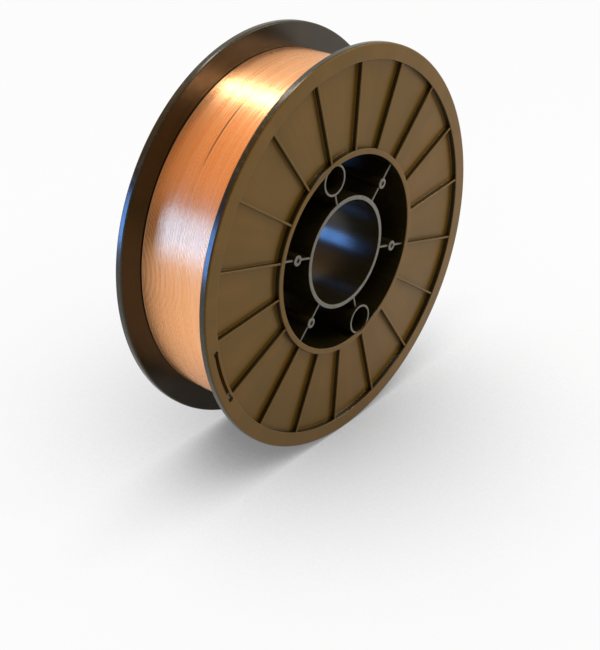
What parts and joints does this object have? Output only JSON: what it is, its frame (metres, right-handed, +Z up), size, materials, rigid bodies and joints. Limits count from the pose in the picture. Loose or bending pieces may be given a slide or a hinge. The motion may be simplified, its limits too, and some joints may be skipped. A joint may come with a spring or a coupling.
{
  "type": "mig welding wire spool",
  "caption": "Flat moulded spool with ribbed flanges, an open spoked hub and a plain bore, wound nearly to the rims with copper-coated welding wire.",
  "frame": {"origin": "on the floor, midway between the two flanges, straight below the spool's axis", "axes": "+Z up, the spool's axis level along Y, the front face toward -Y"},
  "size_m": [0.1998, 0.055, 0.1999],
  "materials": {
    "moulded_plastic": "smooth moulded plastic, dark olive brown, half gloss",
    "copper_coated_wire": "drawn steel wire with a thin bright copper coat"
  },
  "bodies": {
    "root": {"spool_half_front": "moulded_plastic", "spool_half_back": "moulded_plastic", "wire_winding": "copper_coated_wire"}
  },
  "joints": []
}
